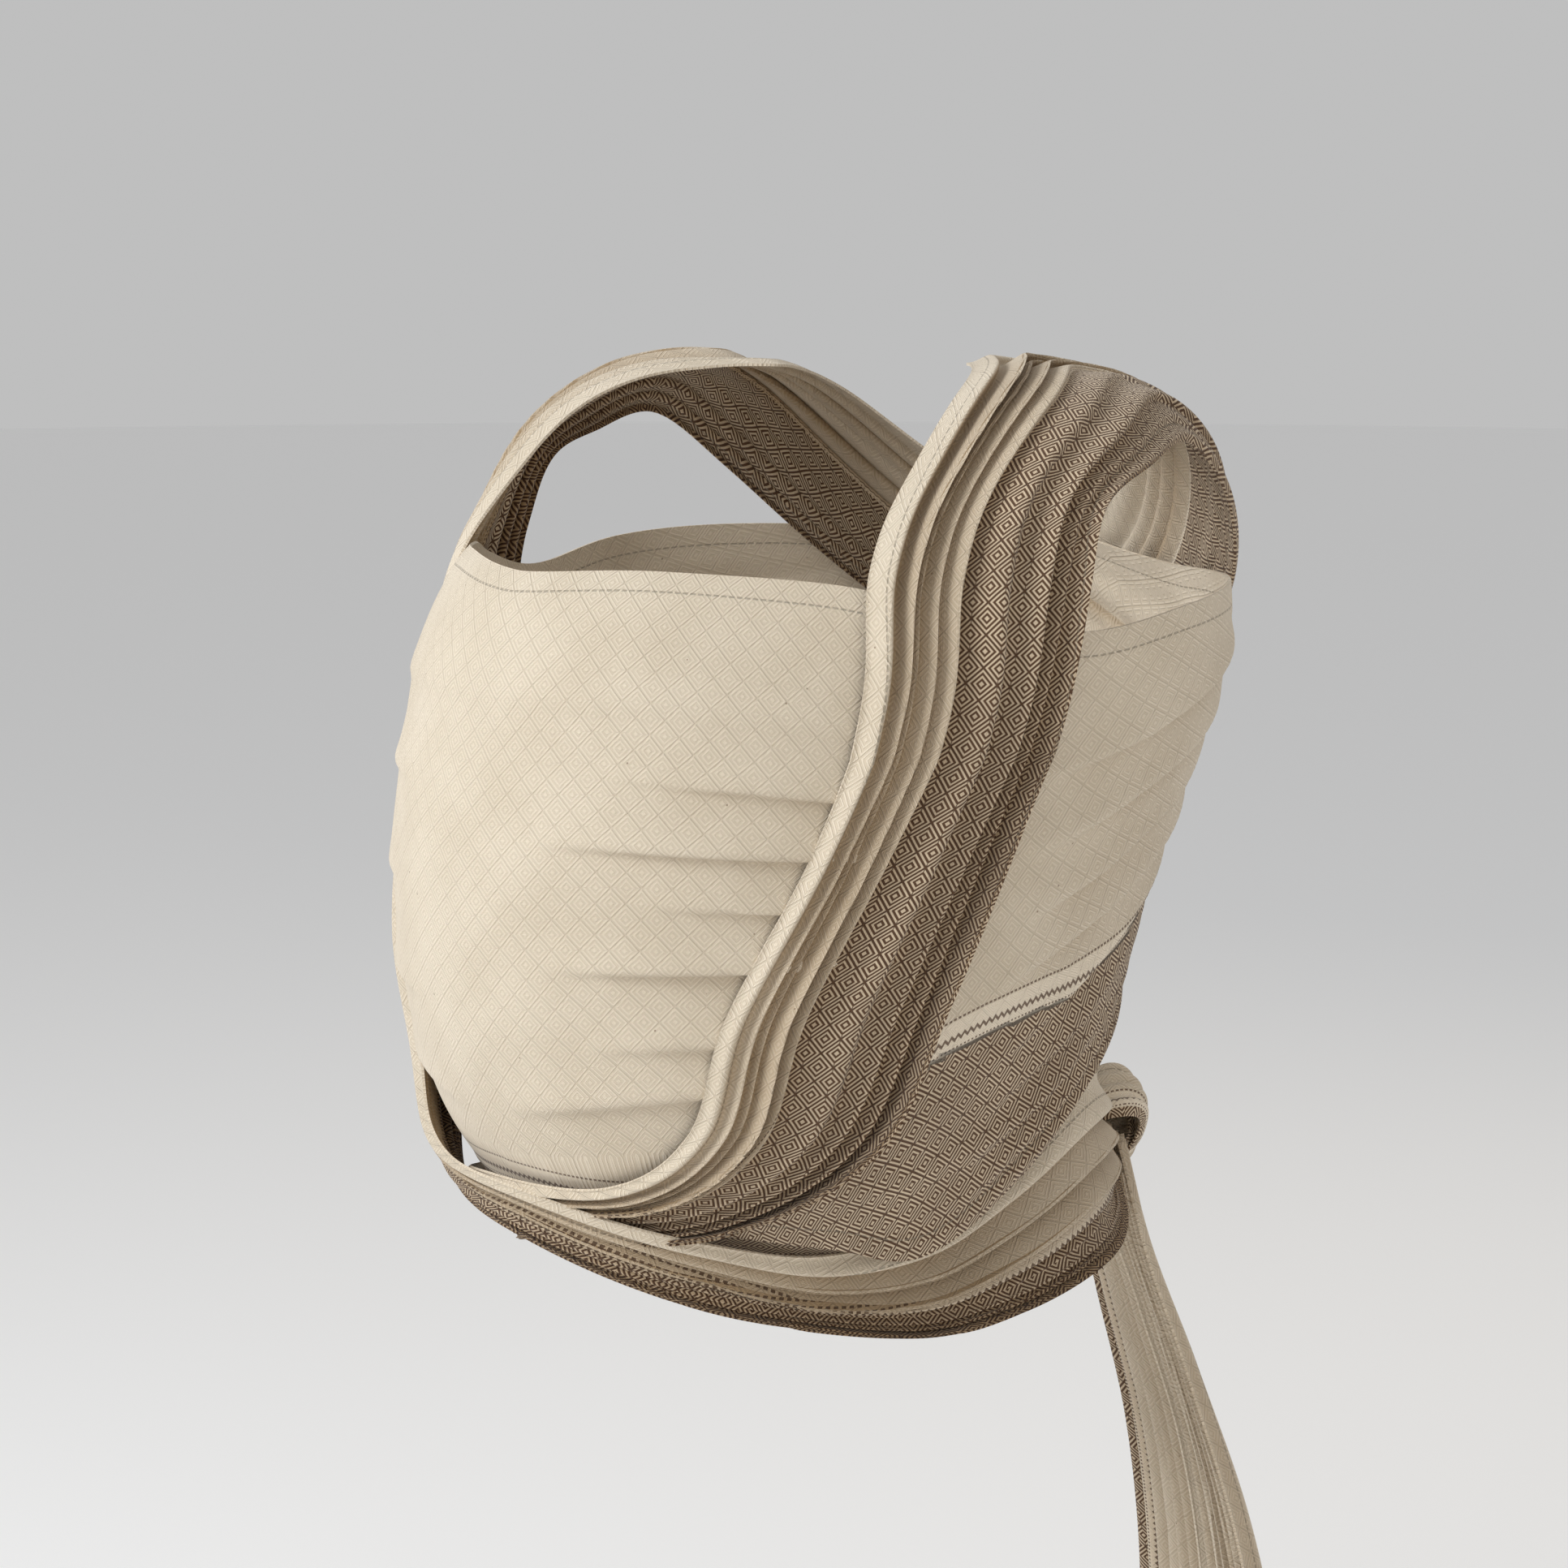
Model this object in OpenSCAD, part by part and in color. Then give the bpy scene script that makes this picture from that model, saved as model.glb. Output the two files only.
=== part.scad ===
// Baby wrap sling, worn as a front wrap cross carry: one long woven cloth
// that runs as named passes round the wearer and the carried baby, with a
// double knot at the back and two free tails.
// +Z is up, -Y is the wearer's front, +X is the wearer's left, and the
// origin is on the wearer's torso axis at the waist.

/* [Cloth] */
// Thickness of one pass of gathered cloth
cloth_t = 3; // [2:0.5:3.5]
// Clear space between two passes that lie on each other
layer_gap = 1; // [0.5:0.25:1]
// Extra thickness of the doubled top hem
hem_extra = 0.5; // [0:0.25:1]

/* [Knot and tails] */
// Diameter of the double knot
knot_d = 50; // [44:1:54]
// Length of each free tail below the knot
tail_len = 560; // [300:10:700]
// Width of a tail where it leaves the knot
tail_top_w = 44; // [30:1:50]
// Width of a tail at its slanted end
tail_end_w = 118; // [80:1:130]
// How much longer the outer corner of a tail is than its inner one
tail_slant = 70; // [0:5:100]
// Thickness of a gathered tail
tail_t = 10; // [6:1:12]

/* [Wearer] */
// Size of the wearer and baby that the cloth is tied round
fit = 1; // [0.95:0.01:1.05]

/* [Fineness] */
// Facets along one stretch between two route stations
steps = 3; // [2:1:5]

/* [Hidden] */

// --- the shape that the cloth is tied round ---
// Distance from the torso axis every 40 of height, at the front, the front
// quarter, the side, the back quarter and the back. Above the armpits the
// level turns into a slope: 2 units of level are one degree above the
// horizontal, seen from the centre of the shoulders.
armpit_z = 200;
level_low = -120;
level_step = 40;
units_per_degree = 2;
radii = [
  [ 95, 118, 158, 142, 130],
  [ 95, 112, 146, 130, 118],
  [125, 122, 131, 108,  96],
  [160, 134, 120,  95,  83],
  [189, 150, 117,  90,  77],
  [204, 161, 122,  96,  84],
  [209, 168, 131, 106,  93],
  [208, 172, 143, 120, 106],
  [200, 171, 154, 135, 122],
  [185, 167, 175, 146, 131],
  [138, 152, 186, 148, 124],
  [120, 138, 150, 136, 118],
  [125, 128, 130, 128, 125]
];

// Cosine series through the five radii of one level
function weight(j) = j == 0 || j == 4 ? 0.5 : 1;
function series(r) = [for (k = [0:4])
  0.5 * weight(k) * (r[0] * 0.5 + r[1] * cos(45 * k) + r[2] * cos(90 * k)
                     + r[3] * cos(135 * k) + r[4] * 0.5 * cos(180 * k))];
waves = [for (r = radii) series(r)];

function clamp(x, lo, hi) = min(max(x, lo), hi);
// Smooth curve through p1 and p2, with p0 and p3 as their neighbours
function smooth(p0, p1, p2, p3, t) =
  0.5 * (2 * p1 + (p2 - p0) * t + (2 * p0 - 5 * p1 + 4 * p2 - p3) * t * t
         + (3 * p1 - p0 - 3 * p2 + p3) * t * t * t);
// A list of rows read at a fractional index
function along(rows, s) =
  let (n = len(rows), i = clamp(floor(s), 0, n - 2), t = s - i)
  smooth(rows[max(i - 1, 0)], rows[i], rows[i + 1], rows[min(i + 2, n - 1)], t);

function radius(angle, level) =
  let (w = along(waves, clamp((level - level_low) / level_step, 0, len(radii) - 1)))
  fit * (w[0] + w[1] * cos(angle) + w[2] * cos(2 * angle)
         + w[3] * cos(3 * angle) + w[4] * cos(4 * angle));

// Point at a height or slope level, off the shape by lift
function place(angle, level, lift) =
  let (r = radius(angle, level) + lift,
       up = max(0, level - armpit_z) / units_per_degree,
       flat = r * cos(up))
  [flat * sin(angle), -flat * cos(angle), min(level, armpit_z) + r * sin(up)];

// --- the routes of the cloth ---
// A station is [angle, level and lift of the cream edge, then of the brown
// edge, and the share of the width that is cream]. Angle 0 is the wearer's
// front and 90 the wearer's left. Lifts are in layers.
panel_route = [
  [-75, 229, 0,  -75, 28, 2,   0.66],
  [-56, 237, 0,  -56,  0, 2.5, 0.66],
  [-41, 243, 0,  -41,  5, 1,   0.80],
  [-20, 240, 0,  -20, 14, 0,   0.95],
  [  0, 239, 0,    0, 16, 0,   0.96],
  [ 20, 243, 0,   20, 14, 0,   0.95],
  [ 41, 243, 0,   41,  5, 1,   0.80],
  [ 56, 237, 0,   56,  0, 2.5, 0.66],
  [ 75, 229, 0,   75, 28, 2,   0.66]
];
// One half of the cloth, from the left side across the back to the right
// shoulder, down over the right of the panel, under the baby's seat and
// round the left waist. over_back and over_seat say how many layers it lies
// above the other half's cloth, and angle_end is where it meets the knot.
function half_route(over_back, over_seat, angle_end) =
  let (side = 455, near = angle_end - 16, half = (side + near) / 2, b = over_back, s = over_seat)
  [[ 75, 229,  0,        75,  28, 2,              0.66],
   [ 95, 233,  0.9 * b,  95,  57, 1.2,            0.69],
   [120, 238,  b,       120,  85, 0.3 + 0.7 * b,  0.66],
   [150, 243,  b,       150, 120, b,              0.64],
   [180, 256,  b,       180, 158, b,              0.62],
   [205, 284,  b,       205, 194, b,              0.60],
   [230, 312,  b,       230, 228, b,              0.56],
   [250, 328,  b,       248, 254, b,              0.52],
   [268, 334,  b,       262, 269, b,              0.50],
   [293, 302,  b,       273, 264, b,              0.48],
   [307, 272,  1.2,     281, 256, 1.2,            0.45],
   [313, 246,  1.3,     285, 238, 1.4,            0.42],
   [314, 213,  1.3,     289, 207, 1.7,            0.40],
   [320, 163,  1.2,     296, 160, 2.1,            0.34],
   [329, 105,  1.2,     303, 108, 2.5,            0.32],
   [334,  58,  1.3,     312,  52, 2.5,            0.36],
   [345,  33,  s,       331,  17, s,              0.44],
   [365,  27,  s,       358,   3, s,              0.50],
   [384,  12,  s,       382, -20, s,              0.55],
   [400,   0,  0,       400, -33, 0,              0.66],
   [420,   6, -3,       420, -40, -3,             0.72],
   [437,  28, -2.5,     437, -32, -2,             0.76],
   [side, 50, -0.5,     side, -20, 0,             0.78],
   [half, 48,  0,       half, -14, 0,             0.78],
   [near, 34,  0.5,     near,  -8, 0.5,           0.78],
   [angle_end, 20, 3,   angle_end, 0, 3,          0.78]];
// The sections of a half, as the stations where each starts and ends
side = [0, 2];
back = [2, 7];
shoulder = [7, 11];
strap = [11, 16];
seat = [16, 19];
waist = [19, 25];

layer = cloth_t + layer_gap;
knot_angle = 150;
knot_level = 8;
knot_reach = 28;
end_gap = 6;
// The left half starts on the wearer's left and ends in the left waist pass.
// The right half is drawn as its mirror image, on top of it at the back and
// under it at the seat.
left_half = half_route(0, 2.7, 360 + knot_angle - end_gap);
right_half = half_route(1.3, 1.4, 720 - knot_angle - end_gap);

// --- building a pass ---
// The cream and the brown part of a pass stay this share of its width apart
seam_share = 0.002;
// One row across the cloth at s along the route, from share a to share b of
// its width, as points off the shape. A share of -1 is the end of the cream.
function row(route, s, a, b, cols, side, lift) =
  let (q = along(route, s), from = a < 0 ? q[6] + seam_share : a, to = b < 0 ? q[6] : b)
  [for (j = [0:cols])
    let (v = from + (to - from) * j / cols)
    place(side * (q[0] + (q[3] - q[0]) * v), q[1] + (q[4] - q[1]) * v,
          (q[2] + (q[5] - q[2]) * v) * layer + lift)];

// A closed shell between two grids of points that hold rows + 1 rows each.
// Flipped turns its faces over for a mirrored grid.
module shell(points, rows, cols, flipped = false) {
  wide = cols + 1;
  count = (rows + 1) * wide;
  skin = [for (i = [0:rows - 1]) for (j = [0:cols - 1])
    let (p = i * wide + j) each [[p, p + wide, p + 1], [p + 1, p + wide, p + wide + 1]]];
  rim = concat([for (j = [0:cols]) j],
               [for (i = [1:rows]) i * wide + cols],
               [for (j = [cols - 1:-1:0]) rows * wide + j],
               [for (i = [rows - 1:-1:1]) i * wide]);
  edge = [for (k = [0:len(rim) - 1])
    let (p = rim[k], q = rim[(k + 1) % len(rim)])
    each [[p, q, p + count], [q, q + count, p + count]]];
  faces = concat(skin, [for (f = skin) [f[0] + count, f[2] + count, f[1] + count]], edge);
  polyhedron(points = points,
             faces = flipped ? [for (f = faces) [f[0], f[2], f[1]]] : faces);
}

// side is 1 for the left half, -1 for the right half's mirror image
module pass(route, span, a, b, cols, side = 1, thick = cloth_t) {
  rows = (span[1] - span[0]) * steps;
  shell([for (lift = [0, thick]) for (i = [0:rows])
          each row(route, span[0] + i / steps, a, b, cols, side, lift)],
        rows, cols, side > 0);
}

module field(route, span, cols, side = 1) color("linen") pass(route, span, 0, -1, cols, side);
module rail(route, span, cols, side = 1) color("rosybrown") pass(route, span, -1, 1, cols, side);

// --- the panel over the baby's back ---
hem_share = 0.045;
whole_panel = [0, len(panel_route) - 1];
module panel_top_hem() color("oldlace")
  pass(panel_route, whole_panel, 0, hem_share, 1, 1, cloth_t + hem_extra);
module panel_field() color("linen") pass(panel_route, whole_panel, hem_share, -1, 8);
module panel_rail() rail(panel_route, whole_panel, 3);

// The rail's edge is tucked up under the baby, between it and the wearer,
// so that the cloth makes a seat from knee to knee
seat_half_angle = 40;
seat_sag = 20;
seat_rise = 42;
belly = 97;
function seat_point(angle, t, drop) =
  let (turn = abs(angle), top = 13 - 8 * turn / seat_half_angle,
       start = radius(angle, top) - layer_gap,
       r = start + (fit * belly - start) * t)
  [r * sin(angle), -r * cos(angle),
   top + seat_rise * t * t - seat_sag * sin(180 * t) - drop];
module panel_seat() color("rosybrown") {
  rows = 12;
  cols = 6;
  shell([for (d = [cloth_t, 0]) for (i = [0:rows]) for (j = [0:cols])
          seat_point(seat_half_angle * (2 * i / rows - 1), j / cols, d)], rows, cols);
}

// --- the two halves, section by section ---
// Under the arms
module side_field_left() field(left_half, side, 4);
module side_rail_left() rail(left_half, side, 3);
module side_field_right() field(right_half, side, 4, -1);
module side_rail_right() rail(right_half, side, 3, -1);
// Across the back to the other shoulder
module back_field_left() field(left_half, back, 7);
module back_rail_left() rail(left_half, back, 5);
module back_field_right() field(right_half, back, 7, -1);
module back_rail_right() rail(right_half, back, 5, -1);
// Over the shoulder that each half crosses to
module shoulder_field_right() field(left_half, shoulder, 3);
module shoulder_rail_right() rail(left_half, shoulder, 3);
module shoulder_field_left() field(right_half, shoulder, 3, -1);
module shoulder_rail_left() rail(right_half, shoulder, 3, -1);
// Down the front over the panel
module strap_field_right() field(left_half, strap, 2);
module strap_rail_right() rail(left_half, strap, 3);
module strap_field_left() field(right_half, strap, 2, -1);
module strap_rail_left() rail(right_half, strap, 3, -1);
// Under the baby's seat
module seat_field_right() field(left_half, seat, 2);
module seat_rail_right() rail(left_half, seat, 2);
module seat_field_left() field(right_half, seat, 2, -1);
module seat_rail_left() rail(right_half, seat, 2, -1);
// Round the waist to the knot
module waist_field_left() field(left_half, waist, 2);
module waist_rail_left() rail(left_half, waist, 1);
module waist_field_right() field(right_half, waist, 2, -1);
module waist_rail_right() rail(right_half, waist, 1, -1);

// --- knot and tails ---
// The knot and both tails stand on a frame that faces out from the back
module at_knot() rotate([0, 0, knot_angle - 180])
  translate([0, radius(knot_angle, knot_level) + knot_reach, knot_level]) children();

module knot() color("wheat") at_knot() {
  hull() for (x = [-1, 1]) translate([x * 9, -3, x * 3]) sphere(d = knot_d * 0.66, $fn = 24);
}

// Rows down a tail: distance below the knot's middle and outward reach,
// over the hip and then straight down
tail_gap = 4;
tail_start = knot_d / 2 + 3;
tail_rows = [
  [0, 0], [0.07, 9], [0.18, 28], [0.32, 46], [0.5, 52], [0.75, 50], [1, 46]
];
function tail_point(side, t, v, depth) =
  let (q = along(tail_rows, t),
       w = tail_top_w + (tail_end_w - tail_top_w) * pow(q[0], 0.8),
       drop = tail_start + q[0] * (tail_len - tail_start - tail_slant * (1 - v)))
  [side * (tail_gap / 2 + w * v), q[1] + depth, -drop];

module tail(side) {
  rows = (len(tail_rows) - 1) * steps;
  cols = 3;
  at_knot() shell([for (d = [-tail_t / 2, tail_t / 2]) for (i = [0:rows]) for (j = [0:cols])
    tail_point(side, i / steps, j / cols, d)], rows, cols, side > 0);
}
module tail_left() color("linen") tail(1);
module tail_right() color("oldlace") tail(-1);

panel_top_hem();
panel_field();
panel_rail();
panel_seat();
side_field_left();
side_rail_left();
side_field_right();
side_rail_right();
back_field_left();
back_rail_left();
back_field_right();
back_rail_right();
shoulder_field_left();
shoulder_rail_left();
shoulder_field_right();
shoulder_rail_right();
strap_field_left();
strap_rail_left();
strap_field_right();
strap_rail_right();
seat_field_left();
seat_rail_left();
seat_field_right();
seat_rail_right();
waist_field_left();
waist_rail_left();
waist_field_right();
waist_rail_right();
knot();
tail_left();
tail_right();
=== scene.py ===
# Baby wrap sling, tied as a front wrap cross carry. All of it is one long woven cloth.
# Lengths are in millimetres until a mesh is made. Angles are in degrees: 0 is the wearer's front, 90 the left.
import math

import bpy
import numpy as np
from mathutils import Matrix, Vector


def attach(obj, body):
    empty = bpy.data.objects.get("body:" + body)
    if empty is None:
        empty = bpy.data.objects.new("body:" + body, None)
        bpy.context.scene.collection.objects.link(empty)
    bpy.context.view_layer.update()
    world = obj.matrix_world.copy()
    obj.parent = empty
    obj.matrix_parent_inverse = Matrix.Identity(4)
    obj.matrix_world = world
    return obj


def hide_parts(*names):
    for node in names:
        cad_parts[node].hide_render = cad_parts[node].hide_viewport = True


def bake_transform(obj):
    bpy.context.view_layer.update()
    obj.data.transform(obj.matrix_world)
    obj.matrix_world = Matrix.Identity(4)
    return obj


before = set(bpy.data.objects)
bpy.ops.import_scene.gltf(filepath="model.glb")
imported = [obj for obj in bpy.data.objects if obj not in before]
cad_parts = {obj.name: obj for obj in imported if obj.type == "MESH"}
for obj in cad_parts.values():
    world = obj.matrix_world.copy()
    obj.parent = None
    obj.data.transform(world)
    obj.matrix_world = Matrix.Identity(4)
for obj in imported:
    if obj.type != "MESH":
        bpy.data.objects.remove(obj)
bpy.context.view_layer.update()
wornBody = "worn_wrap"
print("CAD frame loaded")

# camera first
cameraSettings = {
    "target": (-0.021, -0.023, 0.160),
    "turn": 47,          # degrees towards the wearer's left
    "distance": 1.350,
    "rise": 0.240,
    "lens": 75.5,
}
turn = math.radians(cameraSettings["turn"])
target = Vector(cameraSettings["target"])
away = Vector((math.sin(turn), -math.cos(turn), 0)) * cameraSettings["distance"]
away.z = cameraSettings["rise"]
bpy.ops.object.camera_add(location=target + away)
camera = bpy.context.object
camera.rotation_euler = (-away).to_track_quat("-Z", "Y").to_euler()
camera.data.lens = cameraSettings["lens"]
camera.data.sensor_width = 36
camera.data.clip_end = 60
bpy.context.scene.camera = camera
print("camera placed")

# the shape that the cloth is tied round
shape = {
    "lowest": -120,
    "spacing": 40,
    "armpit": 200,        # above this a level is a slope, two levels to a degree
    "radii": [            # front, front quarter, side, back quarter, back
        [95, 118, 158, 142, 130], [95, 112, 146, 130, 118], [125, 122, 131, 108, 96],
        [160, 134, 120, 95, 83], [189, 150, 117, 90, 77], [204, 161, 122, 96, 84],
        [209, 168, 131, 106, 93], [208, 172, 143, 120, 106], [200, 171, 154, 135, 122],
        [185, 167, 175, 146, 131], [138, 152, 186, 148, 124], [120, 138, 150, 136, 118],
        [125, 128, 130, 128, 125],
    ],
}
layer = 4   # one layer of gathered cloth with its air


def smoothRows(rows, s):
    rows = np.asarray(rows, float)
    last = len(rows) - 1
    s = np.clip(s, 0, last)
    i = np.minimum(np.floor(s).astype(int), last - 1)
    t = (s - i)[..., None]
    a, b, c, d = (rows[np.clip(i + k, 0, last)] for k in (-1, 0, 1, 2))
    return 0.5 * (2 * b + (c - a) * t + (2 * a - 5 * b + 4 * c - d) * t ** 2
                  + (3 * b - a - 3 * c + d) * t ** 3)


def waveRow(r):
    ends = (0.5, 1, 1, 1, 0.5)
    return [0.5 * ends[k] * sum(ends[j] * r[j] * math.cos(math.radians(45 * j * k)) for j in range(5))
            for k in range(5)]


shapeWaves = [waveRow(r) for r in shape["radii"]]


def shapeRadius(angle, level):
    waves = smoothRows(shapeWaves, (level - shape["lowest"]) / shape["spacing"])
    turned = np.radians(angle)
    return sum(waves[..., k] * np.cos(k * turned) for k in range(5))


def shapePoint(angle, level, lift):
    reach = shapeRadius(angle, level) + lift
    up = np.radians(np.maximum(0, level - shape["armpit"]) / 2)
    flat = reach * np.cos(up)
    a = np.radians(angle)
    return np.stack([flat * np.sin(a), -flat * np.cos(a),
                     np.minimum(level, shape["armpit"]) + reach * np.sin(up)], axis=-1)


# route of one half: angle, level and lift of the cream edge, the same of the brown edge, cream share
panelHalf = [
    [-20, 240, 0, -20, 14, 0, 0.95], [0, 239, 0, 0, 16, 0, 0.96], [20, 243, 0, 20, 14, 0, 0.95],
    [41, 243, 0, 41, 5, 1, 0.80], [56, 237, 0, 56, 0, 2.5, 0.66], [75, 229, 0, 75, 28, 2, 0.66],
]


def halfRoute(overBack, overSeat, angleEnd):
    b, s, near = overBack, overSeat, angleEnd - 16
    return panelHalf + [
        [95, 233, 0.9 * b, 95, 57, 1.2, 0.69], [120, 238, b, 120, 85, 0.3 + 0.7 * b, 0.66],
        [150, 243, b, 150, 120, b, 0.64], [180, 256, b, 180, 158, b, 0.62],
        [205, 284, b, 205, 194, b, 0.60], [230, 312, b, 230, 228, b, 0.56],
        [250, 328, b, 248, 254, b, 0.52], [268, 334, b, 262, 269, b, 0.50],
        [293, 302, b, 273, 264, b, 0.48], [307, 272, 1.2, 281, 256, 1.2, 0.45],
        [313, 246, 1.3, 285, 238, 1.4, 0.42], [314, 213, 1.3, 289, 207, 1.7, 0.40],
        [320, 163, 1.2, 296, 160, 2.1, 0.34], [329, 105, 1.2, 303, 108, 2.5, 0.32],
        [334, 58, 1.3, 312, 52, 2.5, 0.36], [345, 33, s, 331, 17, s, 0.44],
        [365, 27, s, 358, 3, s, 0.50], [384, 12, s, 382, -20, s, 0.55],
        [400, 0, 0, 400, -33, 0, 0.66], [420, 6, -3, 420, -40, -3, 0.72],
        [437, 28, -2.5, 437, -32, -2, 0.76], [455, 50, -0.5, 455, -20, 0, 0.78],
        [(455 + near) / 2, 48, 0, (455 + near) / 2, -14, 0, 0.78],
        [near, 34, 0.5, near, -8, 0.5, 0.78], [angleEnd, 20, 3, angleEnd, 0, 3, 0.78],
    ]


knotAngle, knotLevel, knotReach = 150, 8, 28
routes = {
    "left": halfRoute(0, 2.7, 360 + knotAngle - 6),
    "right": halfRoute(1.3, 1.4, 720 - knotAngle - 6),   # drawn mirrored
}

# folds along the cloth: route place, depth in the cream, depth in the brown
folds = {
    "depth": [
        [1, 0, 0], [4, 0, 0.5], [5, 0.6, 1.6], [6, 1.2, 2.4], [7, 1.7, 2.4], [9, 2.1, 2.0],
        [10, 2.6, 2.2], [11, 3.4, 1.8], [12, 4.2, 2.0], [13, 4.6, 2.2], [14, 4.8, 2.6],
        [15, 5.2, 3.4], [16, 5.6, 4.6], [18, 6.0, 7.0], [20, 5.2, 7.8], [21, 4.6, 5.4],
        [22, 4.2, 3.8], [23, 4.6, 3.2], [24, 5.6, 3.0], [26, 6.2, 3.0], [28, 6.6, 3.6], [30, 6, 5],
    ],
    "creamEdges": [0, 0.33, 0.50, 0.63, 0.80, 1.0],
    "brownEdges": [0, 0.42, 0.66, 0.84, 1.0],
    "weights": [0.85, 1.1, 0.6, 1.15, 0.8, 0.85, 1.1, 0.8, 1.25],
    "lean": 0.75,       # how far a fold's crest leans over its neighbour
    "sharp": 1.4,       # over 1 puts the steep side last
    "creaseLean": 1.0,
    "shadeReach": 4.5,
    "tucked": [[8.5, 11, 18, 20, 22], [1, 8, 7, 1.8, 1]],   # how much of the stripes a fold hides
    "hem": 10,
    "hemRise": 0.7,
    "thick": 1.1,
}

# single creases: half, route place and share across at each end, width, height
creases = [
    ["left", 1.9, 0.22, 4.3, 0.25, 7, 4.2], ["left", 1.5, 0.33, 4.2, 0.32, 8, 5.0],
    ["left", 2.1, 0.42, 4.2, 0.39, 6, 4.2], ["left", 1.6, 0.54, 4.0, 0.46, 8, 5.4],
    ["left", 1.8, 0.67, 3.9, 0.55, 8, 4.8], ["left", 1.2, 0.81, 3.7, 0.63, 10, 5.2],
    ["right", 1.6, 0.27, 4.2, 0.25, 8, 3.8], ["right", 1.8, 0.45, 4.2, 0.40, 9, 4.2],
    ["right", 1.4, 0.64, 4.0, 0.54, 9, 4.4], ["right", 1.2, 0.82, 3.8, 0.67, 10, 4.4],
    ["both", 0.6, 0.13, 4.2, 0.16, 7, 2.2],
    ["both", 4.8, 0.20, 7.7, 0.09, 7, 5.5], ["both", 4.8, 0.34, 7.7, 0.19, 8, 6.5],
    ["both", 4.7, 0.47, 7.6, 0.31, 6, 5.5], ["both", 4.5, 0.58, 7.5, 0.43, 8, 6.5],
    ["both", 4.5, 0.72, 7.4, 0.57, 7, 5.5], ["both", 4.4, 0.81, 7.3, 0.68, 7, 5.0],
    ["both", 4.3, 0.88, 7.2, 0.79, 7, 5.5], ["both", 4.2, 0.95, 7.1, 0.90, 6, 4.5],
]


def foldShadow(rise, spacing):
    # how deep each point lies in the shade of the crest before it, 0 to 1; the colour is darkened by it as
    # painted shade
    fall = -np.diff(rise, axis=1, prepend=rise[:, :1]) / spacing
    shade = np.clip((fall - 0.4) * 0.75, 0, 1)
    fade = np.exp(-spacing / folds["shadeReach"])[:, 0]
    for k in range(1, shade.shape[1]):
        shade[:, k] = np.maximum(shade[:, k], shade[:, k - 1] * fade)
    return shade


def foldedRows(side, places, across, along):
    # one row of points for each place on the route, and what the material needs there
    route = smoothRows(routes[side], places)
    v = np.tile(across, (len(places), 1))
    share = route[:, 6:7]
    table = np.array(folds["depth"])
    creamDepth = np.interp(places, table[:, 0], table[:, 1])[:, None]
    brownDepth = np.interp(places, table[:, 0], table[:, 2])[:, None]
    u = along[:, None]
    phaseShift = 0 if side == "left" else 2.3
    creamPart = np.clip(v / share, 0, 1)
    brownPart = np.clip((v - share) / (1 - share), 0, 1)
    wander = 0.06 * np.sin(u / 85 + 5 * v + phaseShift) * np.sin(np.pi * v)
    creamEdges, brownEdges = folds["creamEdges"], folds["brownEdges"]
    creams = len(creamEdges) - 1
    phase = np.where(v < share,
                     np.interp(creamPart + wander * np.sin(np.pi * creamPart), creamEdges,
                               range(len(creamEdges))),
                     creams + np.interp(brownPart + wander * np.sin(np.pi * brownPart), brownEdges,
                                        range(len(brownEdges))))
    index = np.clip(np.floor(phase), 0, creams + len(brownEdges) - 2).astype(int)
    part = phase - index
    swell = 1 + 0.38 * np.sin(u / (70 + 9 * index) + 2.1 * index + phaseShift)
    weight = np.array(folds["weights"])[index] * swell
    depth = np.where(v < share, creamDepth, brownDepth) * weight
    rise = depth * (0.5 - 0.5 * np.cos(2 * np.pi * part ** folds["sharp"]))
    width = np.linalg.norm(shapePoint(route[:, 0], route[:, 1], 0) - shapePoint(route[:, 3], route[:, 4], 0),
                           axis=1)[:, None]
    lean = folds["lean"] * (depth > 1.2) * rise
    for which, p0, v0, p1, v1, wide, high in creases:
        if which not in ("both", side):
            continue
        t = np.clip((places - p0) / (p1 - p0), 0, 1)[:, None]
        taper = np.sin(np.pi * t) ** 0.6
        off = (v - (v0 + (v1 - v0) * t)) * width
        crease = high * taper / (1 + (off / wide) ** 2) / (1 + np.exp(np.clip(off / wide * 6, -40, 40)))
        rise = rise + crease
        lean = lean + folds["creaseLean"] * crease
    rise = rise + 0.25 * np.sin(u / 17 + 9 * v) * np.sin(v * 23 + u / 41 + phaseShift)
    edge = np.minimum(v, 1 - v) * width
    rise = rise + folds["hemRise"] / (1 + np.exp((edge - folds["hem"]) * 1.6))
    mid = v + lean / width * np.sin(np.pi * np.clip(v, 0, 1)) ** 0.5
    turn = 1 if side == "left" else -1
    points = shapePoint(turn * (route[:, 0:1] + (route[:, 3:4] - route[:, 0:1]) * mid),
                        route[:, 1:2] + (route[:, 4:5] - route[:, 1:2]) * mid,
                        (route[:, 2:3] + (route[:, 5:6] - route[:, 2:3]) * v) * layer + rise + 1.5)
    return points, v, share, foldShadow(rise, width / (len(across) - 1))


def alongTable(side):
    # length along the middle of the cloth for places on the route, from the middle of the panel
    dense = np.linspace(1, len(routes[side]) - 1, 60 * (len(routes[side]) - 2) + 1)
    r = smoothRows(routes[side], dense)
    middle = shapePoint((r[:, 0] + r[:, 3]) / 2, (r[:, 1] + r[:, 4]) / 2, (r[:, 2] + r[:, 5]) / 2 * layer)
    steps = np.linalg.norm(np.diff(middle, axis=0), axis=1)
    return dense, np.concatenate([[0], np.cumsum(steps)])


alongOf = {side: alongTable(side) for side in routes}


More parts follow.
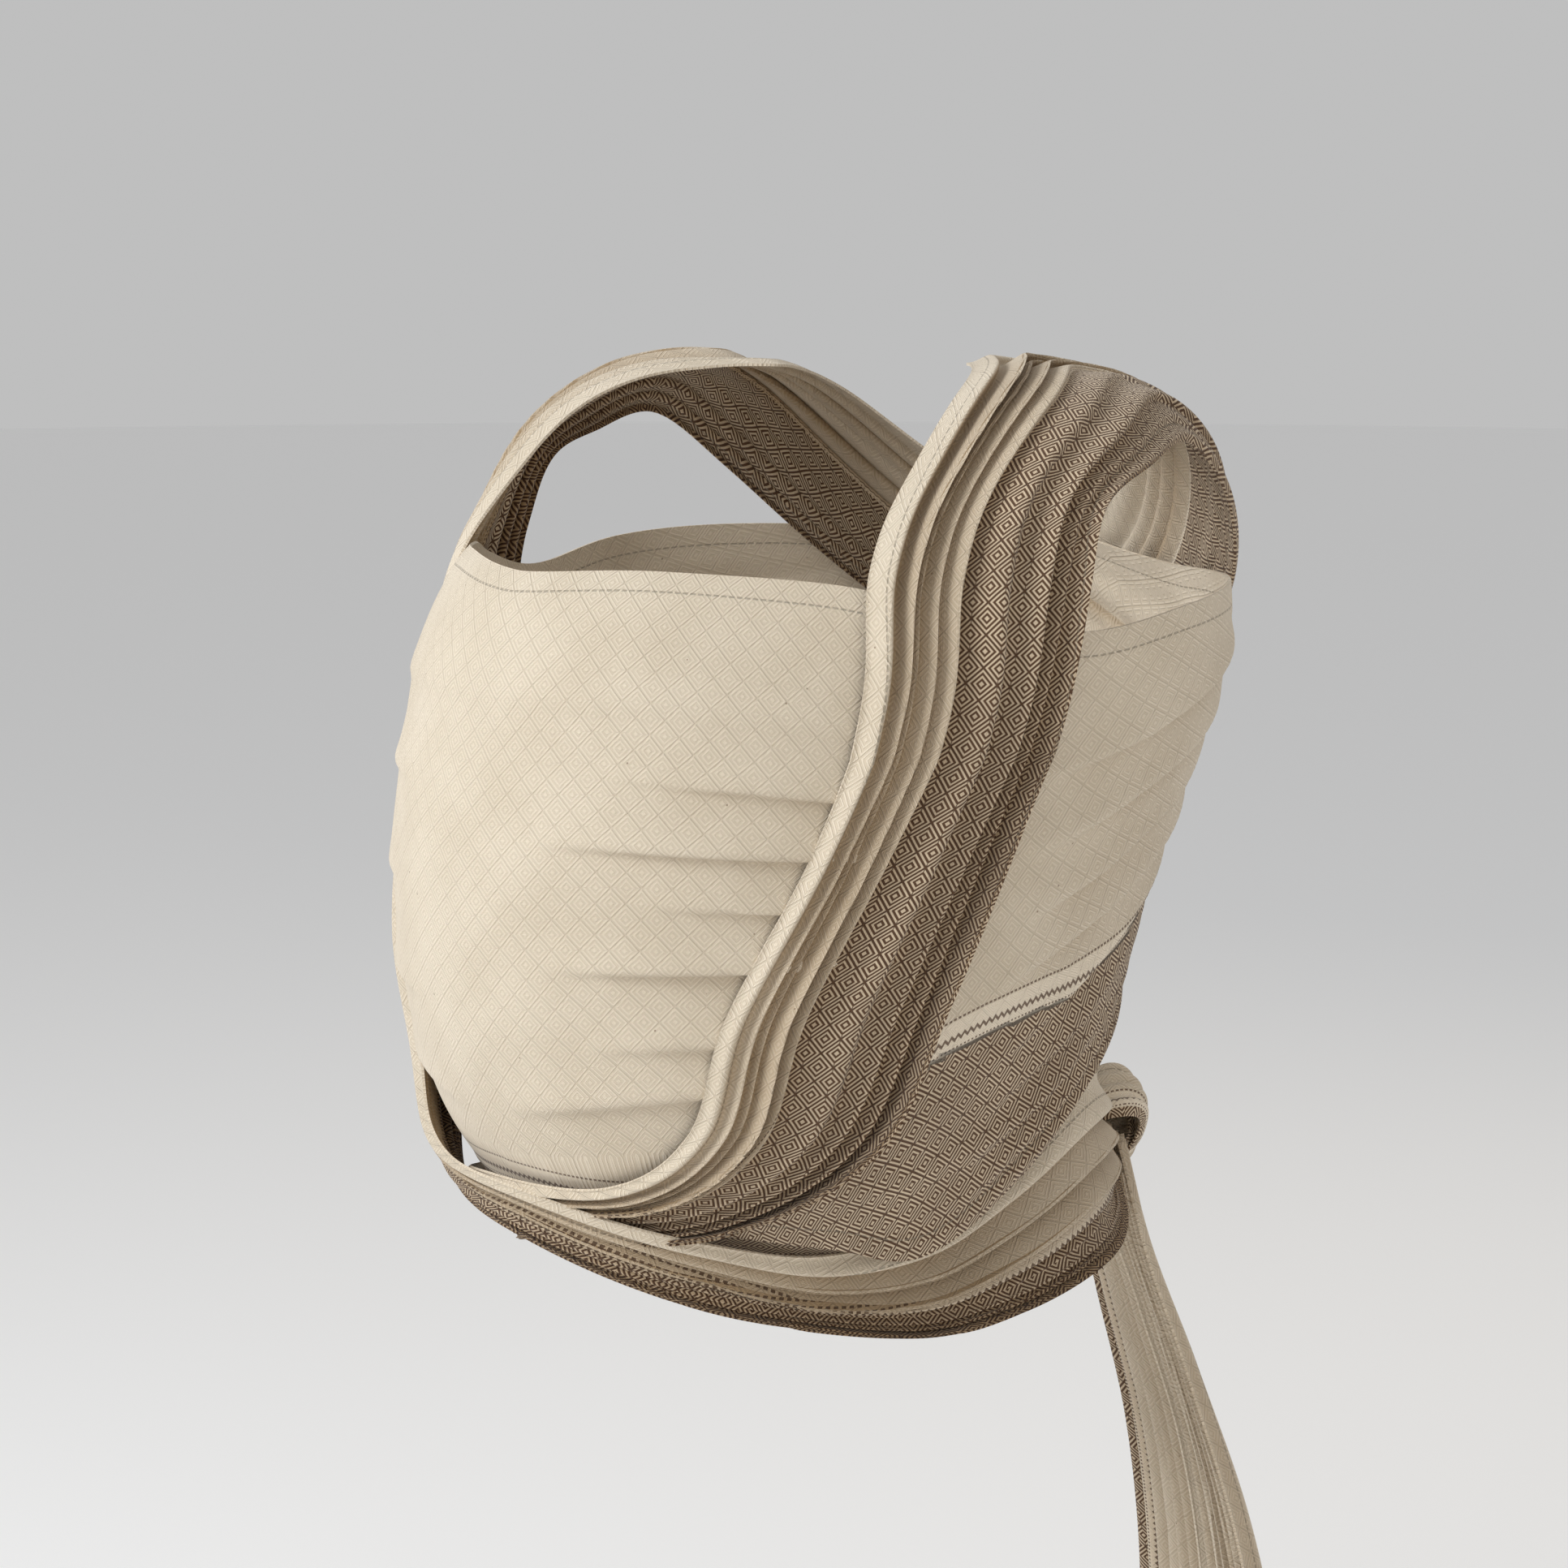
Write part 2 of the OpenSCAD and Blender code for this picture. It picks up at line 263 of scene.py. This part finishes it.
def stripRows(side, start, end, spacing, across):
    dense, run = alongOf[side]
    first, last = np.interp([start, end], dense, run)
    along = np.linspace(first, last, max(2, int(abs(last - first) / spacing) + 1))
    places = np.interp(along, run, dense)
    points, v, share, shadow = foldedRows(side, places, across, along)
    return shadow, (points, v, share, along, places)


def weaveMaps(points, v, share, along, places):
    # where the weave lies on the cloth: metres along it and across it, from the seam of the two colours
    steps = np.linalg.norm(np.diff(points, axis=1), axis=2)
    arc = np.concatenate([np.zeros((len(points), 1)), np.cumsum(steps, axis=1)], axis=1)
    seam = np.array([np.interp(share[i, 0], v[i], arc[i]) for i in range(len(points))])[:, None]
    settle = np.clip((places[:, None] - 3.5) / 5, 0, 1)
    cream = (arc - 232) * (1 - settle) + (arc - seam) * settle
    across = np.where(v < share, np.minimum(cream, 0), arc - seam)
    edge = np.minimum(arc, arc[:, -1:] - arc)
    tucked = np.interp(places, folds["tucked"][0], folds["tucked"][1])[:, None]
    stripe = (arc - seam) * np.where(v < share, tucked, 1)
    u = np.repeat(along[:, None], points.shape[1], axis=1)
    return np.stack([u, across], -1) / 1000, np.stack([stripe, edge], -1) / 1000


def clothObject(name, points, weave, edge, shadow):
    rows, cols = points.shape[:2]
    grid = np.arange(rows * cols).reshape(rows, cols)
    faces = np.stack([grid[:-1, :-1], grid[1:, :-1], grid[1:, 1:], grid[:-1, 1:]], -1).reshape(-1, 4)
    mesh = bpy.data.meshes.new(name)
    mesh.from_pydata((points.reshape(-1, 3) / 1000).tolist(), [], faces.tolist())
    corner = faces.reshape(-1)
    # the fold map holds the painted shade under fold crests
    fold = np.stack([shadow, shadow], -1)
    for layerName, values in (("weave", weave), ("edge", edge), ("fold", fold)):
        mesh.uv_layers.new(name=layerName).data.foreach_set("uv", values.reshape(-1, 2)[corner].reshape(-1))
    cloth = bpy.data.objects.new(name, mesh)
    bpy.context.collection.objects.link(cloth)
    return cloth


def pickOnly(obj):
    bpy.ops.object.select_all(action="DESELECT")
    obj.select_set(True)
    bpy.context.view_layer.objects.active = obj


def finishCloth(cloth, material, inside):
    # inside is a point on the hidden side; the wall grows towards it from the shown side
    pickOnly(cloth)
    mesh = cloth.data
    centre = Vector(inside)
    total = sum((p.center - centre).dot(p.normal) * p.area for p in mesh.polygons)
    area = sum(p.area for p in mesh.polygons)
    if total < 0:
        bpy.ops.object.mode_set(mode="EDIT")
        bpy.ops.mesh.select_all(action="SELECT")
        bpy.ops.mesh.flip_normals()
        bpy.ops.object.mode_set(mode="OBJECT")
    wall = cloth.modifiers.new("wall", "SOLIDIFY")
    wall.thickness = folds["thick"] / 1000
    wall.offset = -1
    bpy.ops.object.modifier_apply(modifier="wall")
    bpy.ops.object.shade_smooth_by_angle(angle=math.radians(62))
    cloth.data.materials.clear()
    cloth.data.materials.append(material)
    print(cloth.name, len(cloth.data.polygons), "faces, cloth area", round(area, 4))
    return cloth


# one cloth, woven in two colours with stripes between them
weaveLook = {
    "repeat": 0.0116,            # one diamond along and across
    "rings": 5.5,
    "cream": (0.80, 0.70, 0.56, 1),
    "creamShade": (0.54, 0.44, 0.31, 1),
    "brown": (0.118, 0.064, 0.034, 1),
    "brownLine": (0.74, 0.60, 0.43, 1),
    "fleck": (0.25, 0.16, 0.09, 1),
    # painted shade: the colour the cloth is darkened towards under fold crests
    "foldShade": (0.54, 0.44, 0.32, 1),
    "threads": 1400,
}


def clothMaterial(name, dashRows):
    look = weaveLook
    material = bpy.data.materials.new(name)
    material.use_nodes = True
    tree = material.node_tree
    tree.nodes.clear()
    link = tree.links.new

    def calc(operation, a, b=None, c=None, clamped=False):
        node = tree.nodes.new("ShaderNodeMath")
        node.operation = operation
        node.use_clamp = clamped
        for slot, value in enumerate((a, b, c)):
            if value is None:
                continue
            if isinstance(value, bpy.types.NodeSocket):
                link(value, node.inputs[slot])
            else:
                node.inputs[slot].default_value = value
        return node.outputs[0]

    def mixed(factor, a, b):
        node = tree.nodes.new("ShaderNodeMix")
        node.data_type = "RGBA"
        for slot, value in ((0, factor), (6, a), (7, b)):
            if isinstance(value, bpy.types.NodeSocket):
                link(value, node.inputs[slot])
            else:
                node.inputs[slot].default_value = value
        return node.outputs[2]

    def ramp(value, low, high):       # 0 under low, 1 over high
        node = tree.nodes.new("ShaderNodeMapRange")
        node.interpolation_type = "SMOOTHSTEP"
        link(value, node.inputs["Value"])
        node.inputs["From Min"].default_value = low
        node.inputs["From Max"].default_value = high
        return node.outputs["Result"]

    def band(value, low, high, soft=0.00015):
        return calc("MULTIPLY", ramp(value, low - soft, low + soft),
                    calc("SUBTRACT", 1, ramp(value, high - soft, high + soft)))

    def mapPair(layerName):
        node = tree.nodes.new("ShaderNodeUVMap")
        node.uv_map = layerName
        split = tree.nodes.new("ShaderNodeSeparateXYZ")
        link(node.outputs[0], split.inputs[0])
        return node.outputs[0], split.outputs[0], split.outputs[1]

    weave, u, v = mapPair("weave")
    seam, hem = mapPair("edge")[1:]
    shade = mapPair("fold")[1]

    # nested diamonds
    def folded(x, size):
        return calc("ABSOLUTE", calc("SUBTRACT", calc("FRACT", calc("DIVIDE", x, size)), 0.5))

    diamond = calc("ADD", folded(u, look["repeat"]), folded(v, look["repeat"]))
    ringWave = calc("SINE", calc("MULTIPLY", diamond, 2 * math.pi * look["rings"]))
    rings = ramp(ringWave, -0.25, 0.35)
    lattice = calc("SUBTRACT", 1, ramp(calc("ABSOLUTE", calc("SUBTRACT", diamond, 0.5)), 0.010, 0.032))
    crossLine = calc("MULTIPLY", calc("SUBTRACT", 1, ramp(folded(v, look["repeat"]), 0.008, 0.026)),
                     ramp(folded(u, look["repeat"]), 0.33, 0.38))
    dark = calc("MAXIMUM", lattice, crossLine)

    # twill threads
    threadLine = calc("SINE", calc("MULTIPLY", calc("ADD", u, calc("MULTIPLY", v, 0.8)),
                                   2 * math.pi * look["threads"]))
    threadCross = calc("SINE", calc("MULTIPLY", v, 2 * math.pi * look["threads"] * 0.8))
    thread = calc("MULTIPLY", calc("ADD", threadLine, threadCross), 0.25)

    soft = tree.nodes.new("ShaderNodeTexNoise")
    soft.inputs["Scale"].default_value = 26
    soft.inputs["Detail"].default_value = 5
    link(weave, soft.inputs["Vector"])
    fine = tree.nodes.new("ShaderNodeTexNoise")
    fine.inputs["Scale"].default_value = 900
    fine.inputs["Detail"].default_value = 2
    link(weave, fine.inputs["Vector"])

    # seed flecks in the raw cotton
    fleck = tree.nodes.new("ShaderNodeTexVoronoi")
    fleck.inputs["Scale"].default_value = 105
    link(weave, fleck.inputs["Vector"])
    fleckColour = tree.nodes.new("ShaderNodeSeparateColor")
    link(fleck.outputs["Color"], fleckColour.inputs[0])
    flecks = calc("MULTIPLY", calc("SUBTRACT", 1, ramp(fleck.outputs["Distance"], 0.03, 0.055)),
                  calc("GREATER_THAN", fleckColour.outputs[0], 0.55))

    # cream ground
    patches = calc("MULTIPLY", ramp(soft.outputs[0], 0.3, 0.7), 0.35)
    tone = calc("ADD", calc("MULTIPLY", rings, -0.55), patches)
    tone = calc("ADD", tone, calc("MULTIPLY", fine.outputs[0], 0.25))
    tone = calc("ADD", calc("ADD", tone, 0.50), calc("MULTIPLY", dark, 0.05))
    creamSide = mixed(calc("MULTIPLY", tone, 0.62, clamped=True), look["cream"], look["creamShade"])
    creamSide = mixed(calc("MULTIPLY", flecks, 0.75), creamSide, look["fleck"])

    # brown ground with cream lines
    line = calc("MULTIPLY", rings, calc("SUBTRACT", 1, calc("MULTIPLY", dark, 0.85)))
    line = calc("MULTIPLY", line, calc("ADD", 0.72, calc("MULTIPLY", fine.outputs[0], 0.4)), clamped=True)
    brownSide = mixed(line, look["brown"], look["brownLine"])
    patches = calc("MULTIPLY", ramp(soft.outputs[0], 0.35, 0.7), 0.18)
    brownSide = mixed(patches, brownSide, (0.12, 0.07, 0.04, 1))

    # stripes between them
    def dashes(low, high, length, fill):
        on = calc("LESS_THAN", calc("FRACT", calc("DIVIDE", u, length)), fill)
        return calc("MULTIPLY", band(seam, low, high), on)

    marks = dashes(-0.0135, -0.0126, 0.0021, 0.62)
    for k in range(dashRows):
        marks = calc("MAXIMUM", marks, dashes(-0.0240 + 0.0034 * k, -0.0226 + 0.0034 * k, 0.0032, 0.58))
    zig = calc("ADD", seam, calc("MULTIPLY", folded(u, 0.0030), 0.0036))
    marks = calc("MAXIMUM", marks, band(zig, -0.0052, -0.0036, 0.0003))
    marks = calc("MAXIMUM", marks, dashes(-0.0016, -0.0009, 0.0018, 0.5))
    plain = band(seam, -0.0122, -0.0005, 0.0002)
    base = mixed(plain, creamSide, tuple(min(1, c * 1.08) for c in look["cream"][:3]) + (1,))
    base = mixed(ramp(seam, -0.0004, 0.0001), base, brownSide)
    base = mixed(calc("MULTIPLY", marks, 0.88), base, look["brown"])

    # hem stitches
    stitchOn = calc("LESS_THAN", calc("FRACT", calc("DIVIDE", u, 0.0034)), 0.72)
    stitch = calc("MULTIPLY", band(hem, 0.0090, 0.0096, 0.0001), stitchOn)
    base = mixed(calc("MULTIPLY", stitch, 0.55), base, tuple(c * 0.55 for c in look["creamShade"][:3]) + (1,))
    # painted shade under fold crests: the colour is multiplied towards foldShade as far as the fold map says
    paintedFoldShade = tree.nodes.new("ShaderNodeMix")
    paintedFoldShade.data_type = "RGBA"
    paintedFoldShade.blend_type = "MULTIPLY"
    link(shade, paintedFoldShade.inputs[0])
    link(base, paintedFoldShade.inputs[6])
    paintedFoldShade.inputs[7].default_value = look["foldShade"]
    base = paintedFoldShade.outputs[2]

    height = calc("ADD", calc("MULTIPLY", rings, 0.55), calc("MULTIPLY", thread, 0.22))
    height = calc("SUBTRACT", height, calc("MULTIPLY", dark, 0.2))
    height = calc("SUBTRACT", height, calc("MULTIPLY", stitch, 1.6))
    height = calc("ADD", height, calc("MULTIPLY", fine.outputs[0], 0.3))
    bump = tree.nodes.new("ShaderNodeBump")
    bump.inputs["Strength"].default_value = 0.9
    bump.inputs["Distance"].default_value = 0.0008
    link(height, bump.inputs["Height"])
    shader = tree.nodes.new("ShaderNodeBsdfPrincipled")
    link(base, shader.inputs["Base Color"])
    shader.inputs["Roughness"].default_value = 0.92
    shader.inputs["Specular IOR Level"].default_value = 0.22
    shader.inputs["Sheen Weight"].default_value = 0.18
    shader.inputs["Sheen Roughness"].default_value = 0.5
    link(bump.outputs[0], shader.inputs["Normal"])
    out = tree.nodes.new("ShaderNodeOutputMaterial")
    link(shader.outputs[0], out.inputs[0])
    return material


wrapCloth = clothMaterial("diamondTwill", 0)
waistCloth = clothMaterial("diamondTwillDashed", 4)
print("cloth materials made")

# the pouch panel, both halves of it in one piece
panel = {"columns": 130, "rowSpacing": 3.6, "flat": (0.25, 0.49)}
across = np.linspace(0, 1, panel["columns"] + 1)
parts = {}
for side in ("right", "left"):
    parts[side] = stripRows(side, 1, 5, panel["rowSpacing"], across)
points = np.concatenate([parts["right"][1][0][:0:-1], parts["left"][1][0]])
shadow = np.concatenate([parts["right"][0][:0:-1], parts["left"][0]])
maps = {side: weaveMaps(*parts[side][1]) for side in parts}
weave = np.concatenate([maps["right"][0][:0:-1] * [-1, 1], maps["left"][0]])
edge = np.concatenate([maps["right"][1][:0:-1], maps["left"][1]])
pouchPanel = finishCloth(clothObject("pouchPanel", points, weave, edge, shadow), wrapCloth, (0, 0, 0.12))
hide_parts("panel_top_hem", "panel_field", "panel_rail")
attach(pouchPanel, wornBody)

# under the arms and across the back, over the shoulders, round the waist
passes = {
    "columns": 150,
    "rowSpacing": 3.8,
    "spans": {
        # name: half, first and last place, material, flat size, CAD nodes
        "backPassLeft": ["left", 5, 12, wrapCloth, (0.147, 0.443),
                         ["side_field_left", "side_rail_left", "back_field_left", "back_rail_left"]],
        "backPassRight": ["right", 5, 12, wrapCloth, (0.151, 0.456),
                          ["side_field_right", "side_rail_right", "back_field_right", "back_rail_right"]],
        "strapRight": ["left", 12, 21, wrapCloth, (0.166, 0.440),
                       ["shoulder_field_right", "shoulder_rail_right",
                        "strap_field_right", "strap_rail_right"]],
        "strapLeft": ["right", 12, 21, wrapCloth, (0.165, 0.443),
                      ["shoulder_field_left", "shoulder_rail_left", "strap_field_left", "strap_rail_left"]],
        "waistPassLeft": ["left", 21, 30, waistCloth, (0.138, 0.416),
                          ["seat_field_right", "seat_rail_right", "waist_field_left", "waist_rail_left"]],
        "waistPassRight": ["right", 21, 30, waistCloth, (0.137, 0.500),
                           ["seat_field_left", "seat_rail_left", "waist_field_right", "waist_rail_right"]],
    },
}
across = np.linspace(0, 1, passes["columns"] + 1)
for name, (side, start, end, material, flat, nodes) in passes["spans"].items():
    shadow, strip = stripRows(side, start, end, passes["rowSpacing"], across)
    weave, edge = weaveMaps(*strip)
    if side == "right":
        weave = weave * [-1, 1]
    cloth = finishCloth(clothObject(name, strip[0], weave, edge, shadow), material, (0, 0, 0.12))
    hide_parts(*nodes)
    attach(cloth, wornBody)
print("panel and passes made")

# the rail tucked up under the baby
tuck = {"halfAngle": 48, "sag": 20, "rise": 42, "belly": 97, "flat": (0.105, 0.215)}
turns = np.linspace(-tuck["halfAngle"], tuck["halfAngle"], 90)[:, None]
t = np.linspace(-0.14, 1, 46)[None, :]
top = 13 - 8 * np.abs(turns) / tuck["halfAngle"]
edgeReach = shapeRadius(turns, top) - 1
reach = edgeReach + (tuck["belly"] - edgeReach) * t
ripple = 1.2 * np.sin(turns / 3.1 + 2 * t) * np.sin(np.pi * np.maximum(t, 0))
a = np.radians(turns) + 0 * t
points = np.stack([reach * np.sin(a), -reach * np.cos(a),
                   top + tuck["rise"] * t ** 2 - tuck["sag"] * np.sin(np.pi * t) - 1 + ripple], -1)
weave = np.stack([a * 0.15, 0.02 + t * 0.1 + 0 * a], -1)
edge = np.stack([0.02 + t * 0.1 + 0 * a, np.minimum(0.03 + 0 * a, (1 - t) * 0.1)], -1)
seatTuck = finishCloth(clothObject("seatTuck", points, weave, edge, 0 * a), wrapCloth, (0, -0.13, 0.2))
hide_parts("panel_seat")
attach(seatTuck, wornBody)

# the knot, in its own frame: x along the waist, y out of the back, z up
knotOut = float(shapeRadius(np.array(knotAngle), np.array(knotLevel))) + knotReach


def atKnot(points):
    a = math.radians(knotAngle - 180)
    x, y = points[..., 0], points[..., 1] + knotOut
    return np.stack([x * math.cos(a) - y * math.sin(a), x * math.sin(a) + y * math.cos(a),
                     points[..., 2] + knotLevel], -1)


knotCentre = atKnot(np.array([0, 0, 0.0])) / 1000


def ribbed(v, count, depth):
    part = (v * count) % 1
    return depth * (0.5 - 0.5 * np.cos(2 * np.pi * part ** 0.7))


knotLook = {
    "bands": [  # name, centre x and z, tilt, radii out and up, width
        ["knotBandUpper", 5, 5, 28, 14, 16, 27],
        ["knotBandLower", -5, -5, -32, 13, 15, 25],
    ],
    "flat": (0.036, 0.097),
}
for name, midX, midZ, tilt, outRadius, upRadius, wide in knotLook["bands"]:
    turns = np.linspace(0, 2 * math.pi, 91)[:, None]
    v = np.linspace(0, 1, 49)[None, :]
    swell = np.sin(np.pi * v) ** 0.5 * 4.5 + ribbed(v, 4, 2.2) * (1 + 0.3 * np.sin(3 * turns))
    x = (v - 0.5) * wide * (1 + 0.16 * np.cos(2 * turns)) + 0 * turns
    y = -3 + (outRadius + swell - 4) * np.sin(turns)
    z = (upRadius + swell - 4) * np.cos(turns)
    a = math.radians(tilt)
    ring = np.stack([midX + x * math.cos(a) + z * math.sin(a), y,
                     midZ - x * math.sin(a) + z * math.cos(a)], -1)
    length = 2 * math.pi * (outRadius + upRadius) / 2
    weave = np.stack([turns / (2 * math.pi) * length + 0 * v, v * 50 - 46 + 0 * turns], -1) / 1000
    edge = np.stack([v * 50 - 46 + 0 * turns, np.minimum(v, 1 - v) * 50 + 0 * turns], -1) / 1000
    bandCloth = clothObject(name, atKnot(ring), weave, edge, 0 * ring[..., 0])
    bandCloth = finishCloth(bandCloth, wrapCloth, knotCentre)
    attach(bandCloth, wornBody)
    if name == "knotBandUpper":
        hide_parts("knot")
print("knot tied")

# the two tails
tails = {
    "length": 560, "topWidth": 44, "endWidth": 118, "slant": 70, "gap": 4, "start": 28,
    "reach": [[0, 0], [0.07, 9], [0.18, 28], [0.32, 46], [0.5, 52], [0.75, 50], [1, 46]],
    "foldEdges": [0, 0.16, 0.34, 0.48, 0.66, 0.82, 1.0],
    "flat": (0.137, 0.535),
}
for name, side in (("tailLeft", 1), ("tailRight", -1)):
    drops = np.concatenate([np.linspace(-0.045, -0.001, 8), np.linspace(0, 1, 190)])[:, None]
    v = np.linspace(0, 1, 111)[None, :]
    q = np.maximum(drops, 0)
    inKnot = np.clip(1 + drops / 0.045, 0, 1)
    wide = (tails["topWidth"] + (tails["endWidth"] - tails["topWidth"]) * q ** 0.8) * (0.45 + 0.55 * inKnot)
    reachTable = np.array(tails["reach"])
    evenReach = np.interp(np.linspace(0, 1, 9), reachTable[:, 0], reachTable[:, 1])[:, None]
    reach = smoothRows(evenReach, q * 8)[..., 0]
    wander = 0.03 * np.sin(4 * q + 5 * v + side) * np.sin(np.pi * v)
    phase = np.interp(v + wander, tails["foldEdges"], range(len(tails["foldEdges"])))
    index = np.minimum(np.floor(phase), len(tails["foldEdges"]) - 2)
    part = phase - index
    deep = 4.5 + 5 * np.sin(np.pi * np.minimum(q * 1.2, 1)) + 1.5 * q
    deep = deep * (1 + 0.35 * np.sin(2.2 * index + 3 * q + side))
    fold = deep * (0.5 - 0.5 * np.cos(2 * np.pi * part ** 0.75))
    x = side * (tails["gap"] / 2 + wide * np.clip(v - 0.7 * fold / wide * np.sin(np.pi * v), 0, 1))
    slant = tails["slant"] * (1 - v) * (drops > 0)
    drop = tails["start"] + drops * (tails["length"] - tails["start"] - slant)
    sway = 3 * np.sin(5 * q + side)
    local = np.stack([x + 0 * drops, reach + fold - 4 + sway * q, -drop], -1)
    steps = np.linalg.norm(np.diff(local, axis=1), axis=2)
    arc = np.concatenate([np.zeros((len(local), 1)), np.cumsum(steps, axis=1)], axis=1)
    whole = arc[:, -1:]
    weave = np.stack([drop + 0 * arc, whole * 0.3 - arc], -1) / 1000
    brownShare = -0.3 if side > 0 else 0.12     # the nearer tail has its brown rail folded inside
    edge = np.stack([whole * (brownShare - 1) + arc, np.minimum(arc, whole - arc)], -1) / 1000
    edge[..., 1] = np.minimum(edge[..., 1], (tails["length"] - tails["slant"] * (1 - v) - drop) / 1000)
    inside = atKnot(np.array([0, -200, -280.0])) / 1000
    # painted shade under the tails' fold crests, at half strength
    shadow = 0.5 * foldShadow(fold, wide / 110)
    tail = finishCloth(clothObject(name, atKnot(local), weave, edge, shadow), wrapCloth, inside)
    node = "tail_left" if side > 0 else "tail_right"
    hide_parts(node)
    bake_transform(tail)
print("tails hung")

# floor and light
studio = {"floorLevel": -0.62, "floor": (0.96, 0.96, 0.96, 1), "world": 0.52,
          "key": 46, "fill": 5, "back": 7, "keyColour": (0.94, 0.97, 1.0), "fillColour": (1.0, 0.88, 0.72)}
bpy.ops.object.select_all(action="DESELECT")
bpy.ops.mesh.primitive_circle_add(vertices=96, radius=14, fill_type="NGON",
                                  location=(0, 0, studio["floorLevel"]))
floor = bpy.context.object
floor.name = "floor"
floorPaint = bpy.data.materials.new("floorPaint")
floorPaint.use_nodes = True
floorShader = floorPaint.node_tree.nodes["Principled BSDF"]
floorShader.inputs["Base Color"].default_value = studio["floor"]
floorShader.inputs["Roughness"].default_value = 0.8
floor.data.materials.append(floorPaint)


def softLight(name, location, aim, size, power, colour):
    bpy.ops.object.light_add(type="AREA", location=location)
    light = bpy.context.object
    light.name = name
    light.data.size = size
    light.data.energy = power
    light.data.color = colour
    light.rotation_euler = (Vector(aim) - Vector(location)).to_track_quat("-Z", "Y").to_euler()


softLight("keyLight", (-0.7, -1.95, 1.35), (0, -0.05, 0.12), 1.1, studio["key"], studio["keyColour"])
softLight("fillLight", (2.0, -0.5, 0.3), (0, 0, 0.1), 1.4, studio["fill"], studio["fillColour"])
softLight("backLight", (-0.8, 1.9, 1.4), (0, 0, 0.1), 1.4, studio["back"], studio["fillColour"])
world = bpy.data.worlds.new("studioWorld")
world.use_nodes = True
world.node_tree.nodes["Background"].inputs[0].default_value = (1, 1, 1, 1)
world.node_tree.nodes["Background"].inputs[1].default_value = studio["world"]
bpy.context.scene.world = world
bpy.context.scene.view_settings.view_transform = "Standard"
print("studio set")
